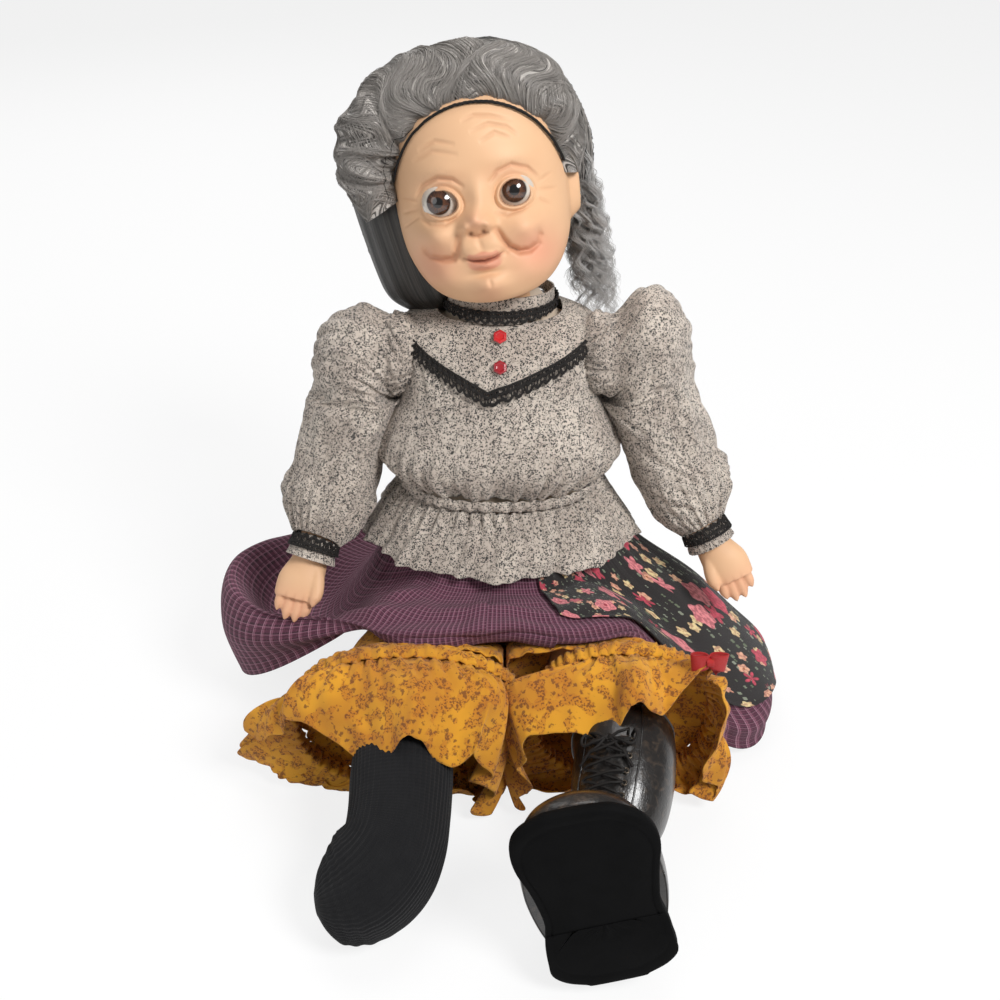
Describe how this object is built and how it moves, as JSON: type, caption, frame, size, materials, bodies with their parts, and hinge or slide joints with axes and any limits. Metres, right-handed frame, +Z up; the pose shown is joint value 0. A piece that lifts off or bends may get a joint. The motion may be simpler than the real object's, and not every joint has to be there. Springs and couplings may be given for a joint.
{
  "type": "old-woman doll",
  "caption": "Seated old-woman doll: vinyl head and limbs, wig under a hairnet, calico blouse, plaid skirt, floral apron, bloomers, a sock and a laced boot; head, arms and legs turn.",
  "frame": {"origin": "on the flat seat of the bloomers, under the middle of the body", "axes": "+Z up from the seat, -Y the way the doll faces, +X to its left"},
  "size_m": [0.2595, 0.2705, 0.2939],
  "materials": {
    "body_cloth": "plain muslin",
    "clear_plastic": "smooth",
    "grey_calico": "small-patterned cotton",
    "black_lace": "scalloped lace",
    "red_button": "polished",
    "plum_plaid": "woven plaid cotton",
    "black_floral": "small-patterned cotton",
    "ochre_calico": "small-patterned cotton",
    "vinyl": "matt flesh vinyl",
    "eye_plastic": "polished",
    "wig_cap": "stretch mesh",
    "grey_hair": "fine fibre",
    "net": "fine mesh",
    "knit_sock": "ribbed knit",
    "black_leather": "glossy",
    "black_rubber": "matt",
    "black_cord": "round cord",
    "red_ribbon": "satin"
  },
  "bodies": {
    "torso": {"cloth_body": "body_cloth", "neck_tie": "clear_plastic", "bodice": "grey_calico", "yoke": "grey_calico", "yoke_lace": "black_lace", "collar": "grey_calico", "collar_lace": "black_lace", "button_upper": "red_button", "button_lower": "red_button", "waist_casing": "grey_calico", "peplum": "grey_calico", "skirt": "plum_plaid", "skirt_waistband": "plum_plaid", "apron": "black_floral", "bloomers_seat": "ochre_calico", "shoulder_washer_left": "clear_plastic", "shoulder_washer_right": "clear_plastic", "hip_washer_left": "clear_plastic", "hip_washer_right": "clear_plastic"},
    "head": {"head_shell": "vinyl", "eye_left": "eye_plastic", "eye_right": "eye_plastic", "wig_cap": "wig_cap", "front_hair_roll": "grey_hair", "back_hair": "grey_hair", "hairnet": "net", "hairnet_elastic": "net", "side_curl": "grey_hair"},
    "arm_left": {"arm_left": "vinyl", "shoulder_pin_left": "clear_plastic", "sleeve_left": "grey_calico", "cuff_left": "grey_calico", "cuff_lace_left": "black_lace"},
    "arm_right": {"arm_right": "vinyl", "shoulder_pin_right": "clear_plastic", "sleeve_right": "grey_calico", "cuff_right": "grey_calico", "cuff_lace_right": "black_lace"},
    "leg_left": {"leg_left": "vinyl", "hip_pin_left": "clear_plastic", "bloomer_leg_left": "ochre_calico", "bloomer_band_left": "ochre_calico", "bloomer_ruffle_left": "ochre_calico", "boot_upper": "black_leather", "boot_sole": "black_rubber", "boot_heel": "black_rubber", "boot_tongue": "black_leather", "boot_laces": "black_cord", "red_bow": "red_ribbon"},
    "leg_right": {"leg_right": "vinyl", "hip_pin_right": "clear_plastic", "sock": "knit_sock", "bloomer_leg_right": "ochre_calico", "bloomer_band_right": "ochre_calico", "bloomer_ruffle_right": "ochre_calico"}
  },
  "joints": [
    {"name": "head_turn", "type": "hinge", "parent": "torso", "child": "head", "pos_m": [-0.0085, 0.04566, 0.238], "axis": [-0.1616, 0.3294, 0.9303], "range_deg": [-60, 60], "deforming": ["collar", "collar_lace"]},
    {"name": "shoulder_left_swing", "type": "hinge", "parent": "torso", "child": "arm_left", "pos_m": [0.0385, 0.017, 0.172], "axis": [-1, 0, 0], "range_deg": [0, 100]},
    {"name": "shoulder_right_swing", "type": "hinge", "parent": "torso", "child": "arm_right", "pos_m": [-0.0385, 0.017, 0.172], "axis": [-1, 0, 0], "range_deg": [0, 100]},
    {"name": "hip_left_swing", "type": "hinge", "parent": "torso", "child": "leg_left", "pos_m": [0.0155, 0, 0.038], "axis": [1, 0, 0], "range_deg": [0, 85], "deforming": ["skirt", "apron"]},
    {"name": "hip_right_swing", "type": "hinge", "parent": "torso", "child": "leg_right", "pos_m": [-0.0155, 0, 0.038], "axis": [1, 0, 0], "range_deg": [0, 85], "deforming": ["skirt", "apron"]}
  ]
}
